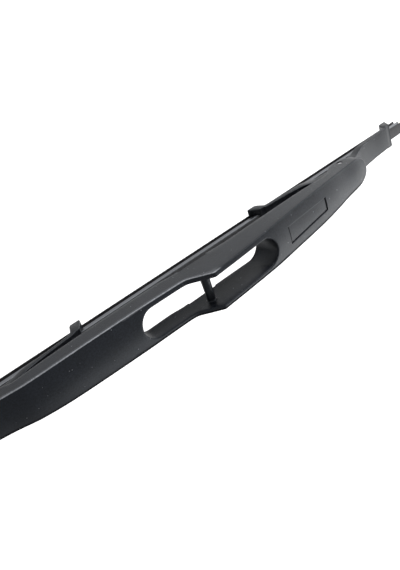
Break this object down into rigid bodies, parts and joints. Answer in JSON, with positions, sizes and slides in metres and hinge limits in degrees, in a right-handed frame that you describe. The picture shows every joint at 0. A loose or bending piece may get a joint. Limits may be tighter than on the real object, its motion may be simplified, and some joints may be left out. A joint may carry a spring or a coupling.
{
  "type": "rear wiper blade",
  "caption": "Moulded rear wiper blade: humped black bridge with a slot and moulded cross pin, hinged yokes, and a rubber lip on steel rails.",
  "frame": {"origin": "centre of the moulded cross pin in the bridge's slot", "axes": "+X along the blade, towards the end with the label recess; +Y across it, along the cross pin; +Z away from the glass"},
  "size_m": [0.33, 0.0184, 0.0401],
  "materials": {
    "moulded_plastic": "fine matt grain",
    "yoke_plastic": "fine matt grain",
    "pin_steel": "plain drawn steel",
    "wiper_rubber": "smooth, slightly dusty",
    "rail_steel": "dark spring steel"
  },
  "bodies": {
    "bridge_body": {"bridge": "moulded_plastic", "pivot_pin_left": "pin_steel", "pivot_pin_right": "pin_steel", "rubber_element": "wiper_rubber", "rail_near": "rail_steel", "rail_far": "rail_steel"},
    "yoke_left_body": {"yoke_left": "yoke_plastic"},
    "yoke_right_body": {"yoke_right": "yoke_plastic"}
  },
  "joints": [
    {"name": "yoke_left_hinge", "type": "hinge", "parent": "bridge_body", "child": "yoke_left_body", "pos_m": [-0.1016, 0, -0.013], "axis": [0, 1, 0], "range_deg": [-6, 6], "stiffness_Nm_per_rad": 0.15, "deforming": ["rubber_element", "rail_near", "rail_far"]},
    {"name": "yoke_right_hinge", "type": "hinge", "parent": "bridge_body", "child": "yoke_right_body", "pos_m": [0.1044, 0, -0.013], "axis": [0, 1, 0], "range_deg": [-6, 6], "stiffness_Nm_per_rad": 0.15, "deforming": ["rubber_element", "rail_near", "rail_far"]}
  ]
}
